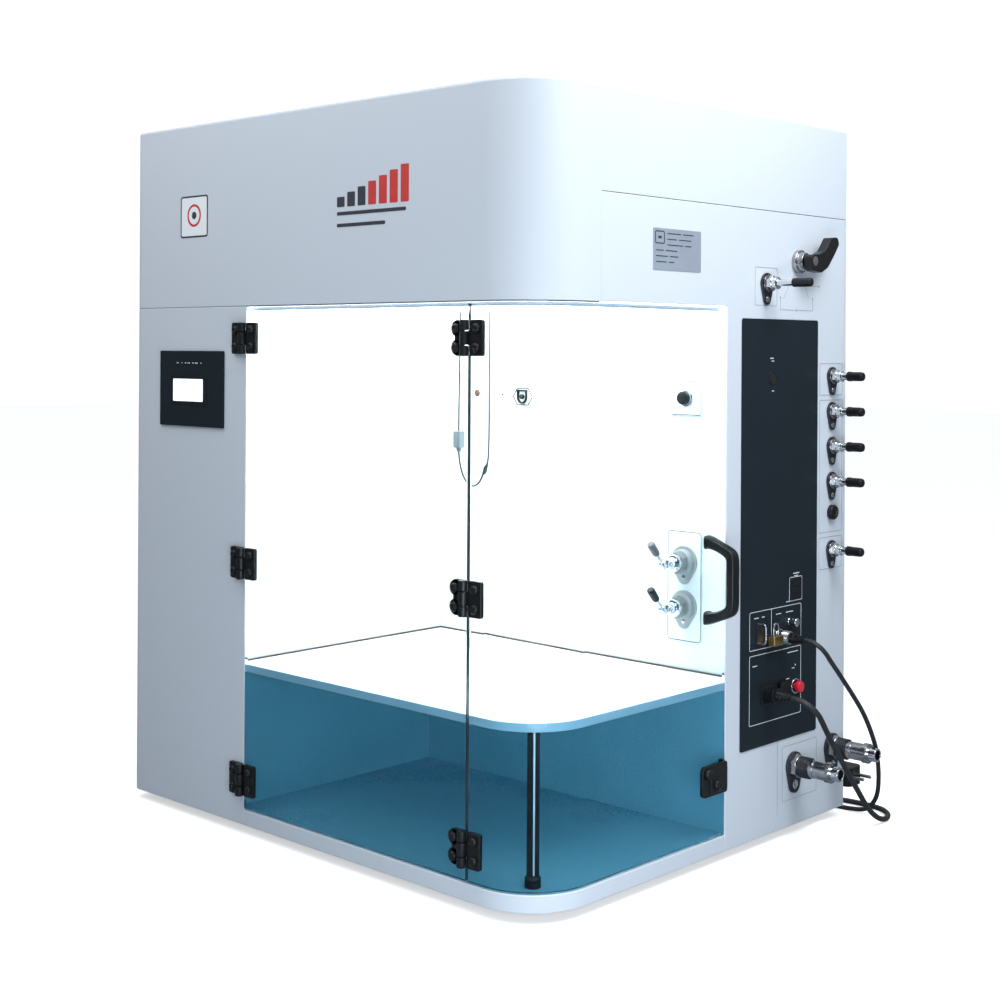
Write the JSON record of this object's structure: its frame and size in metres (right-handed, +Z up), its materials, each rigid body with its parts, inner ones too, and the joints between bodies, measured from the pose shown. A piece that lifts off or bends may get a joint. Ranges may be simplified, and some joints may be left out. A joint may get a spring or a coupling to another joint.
{
  "type": "laboratory glove box",
  "caption": "Bench-top laboratory glove box: a lit chamber with a work shelf behind a folding clear door that wraps the corner, a display column and a side of gas and cable connections.",
  "frame": {"origin": "middle of the footprint's bounding box, at the underside of the feet, cords left out", "axes": "+Z up, +X towards the side with the connections, -Y towards the front"},
  "size_m": [0.816, 0.7778, 0.9121],
  "materials": {
    "painted_steel": "fine satin powder coat, cool light grey",
    "white_lining": "smooth white enamel",
    "clear_acrylic": "polished clear acrylic with a faint teal tint",
    "black_plastic": "moulded black nylon, low sheen",
    "black_panel": "matt black anodised sheet with thin white line marks",
    "stainless_steel": "machined bright stainless steel",
    "dark_post": "dark anodised rod",
    "controller_blue": "blue enamel",
    "red_plastic": "glossy red",
    "foot_rubber": "moulded black rubber",
    "cord_black": "black cable sheath",
    "sensor_white": "white cable sheath and plug"
  },
  "bodies": {
    "root": {"left_cover": "painted_steel", "front_rim": "painted_steel", "side_panel": "painted_steel", "rear_panel": "painted_steel", "hood_cover": "painted_steel", "base_tray": "painted_steel", "chamber_left_wall": "white_lining", "chamber_back_wall": "white_lining", "chamber_ceiling": "white_lining", "work_shelf": "white_lining", "column_hinge_top_fixed": "black_plastic", "column_hinge_middle_fixed": "black_plastic", "column_hinge_bottom_fixed": "black_plastic", "catch_strike": "black_plastic", "fan_guard": "black_plastic", "mains_plug": "black_plastic", "wall_plug": "black_plastic", "connector_panel": "black_panel", "display_module": "black_panel", "gas_port_rail": "stainless_steel", "purge_port": "stainless_steel", "selector_valve": "stainless_steel", "coolant_couplings": "stainless_steel", "inner_valve_plate": "stainless_steel", "cable_gland": "stainless_steel", "power_supply": "stainless_steel", "signal_plug": "stainless_steel", "signal_end_plug": "stainless_steel", "shelf_post": "dark_post", "flow_controllers": "controller_blue", "foot_1": "foot_rubber", "foot_2": "foot_rubber", "foot_3": "foot_rubber", "foot_4": "foot_rubber", "mains_lead": "cord_black", "mains_coil": "cord_black", "signal_lead": "cord_black", "signal_coil": "cord_black", "sensor_cable": "sensor_white", "sensor_plug": "sensor_white"},
    "door_a": {"door_a": "clear_acrylic", "column_hinge_top_moving": "black_plastic", "column_hinge_middle_moving": "black_plastic", "column_hinge_bottom_moving": "black_plastic", "fold_hinge_top_a": "black_plastic", "fold_hinge_middle_a": "black_plastic", "fold_hinge_bottom_a": "black_plastic"},
    "door_b": {"door_b": "clear_acrylic", "fold_hinge_top_b": "black_plastic", "fold_hinge_middle_b": "black_plastic", "fold_hinge_bottom_b": "black_plastic", "door_handle": "black_plastic", "door_catch": "black_plastic"},
    "selector_lever": {"selector_lever": "black_plastic"},
    "inner_lever_upper": {"inner_lever_upper": "black_plastic"},
    "inner_lever_lower": {"inner_lever_lower": "black_plastic"},
    "lamp_button": {"lamp_button": "black_plastic"},
    "breaker_button": {"breaker_button": "red_plastic"},
    "power_rocker": {"power_rocker": "black_plastic"},
    "fan_rotor": {"fan_rotor": "black_plastic"}
  },
  "joints": [
    {"name": "door_a_swing", "type": "hinge", "parent": "root", "child": "door_a", "pos_m": [-0.162, -0.3105, 0.352], "axis": [0, 0, -1], "range_deg": [0, 120]},
    {"name": "door_b_fold", "type": "hinge", "parent": "door_a", "child": "door_b", "pos_m": [0.234, -0.3105, 0.352], "axis": [0, 0, -1], "range_deg": [0, 140]},
    {"name": "selector_lever_turn", "type": "hinge", "parent": "root", "child": "selector_lever", "pos_m": [0.358, 0.191, 0.732], "axis": [1, 0, 0], "range_deg": [0, 90]},
    {"name": "inner_lever_upper_tilt", "type": "hinge", "parent": "root", "child": "inner_lever_upper", "pos_m": [0.252, 0.0217, 0.352], "axis": [1, 0, 0], "range_deg": [-40, 45]},
    {"name": "inner_lever_lower_tilt", "type": "hinge", "parent": "root", "child": "inner_lever_lower", "pos_m": [0.252, 0.0217, 0.296], "axis": [1, 0, 0], "range_deg": [-40, 45]},
    {"name": "lamp_button_press", "type": "slide", "parent": "root", "child": "lamp_button", "axis": [0, 1, 0], "range_m": [0, 0.003], "stiffness_N_per_m": 300},
    {"name": "breaker_button_press", "type": "slide", "parent": "root", "child": "breaker_button", "axis": [-1, 0, 0], "range_m": [0, 0.003], "stiffness_N_per_m": 400},
    {"name": "power_rocker_tilt", "type": "hinge", "parent": "root", "child": "power_rocker", "pos_m": [0.337, 0.156, 0.19], "axis": [0, 1, 0], "range_deg": [-8, 8]},
    {"name": "fan_rotor_spin", "type": "hinge", "parent": "root", "child": "fan_rotor", "pos_m": [-0.002, 0.288, 0.492], "axis": [0, 1, 0], "continuous": true}
  ]
}
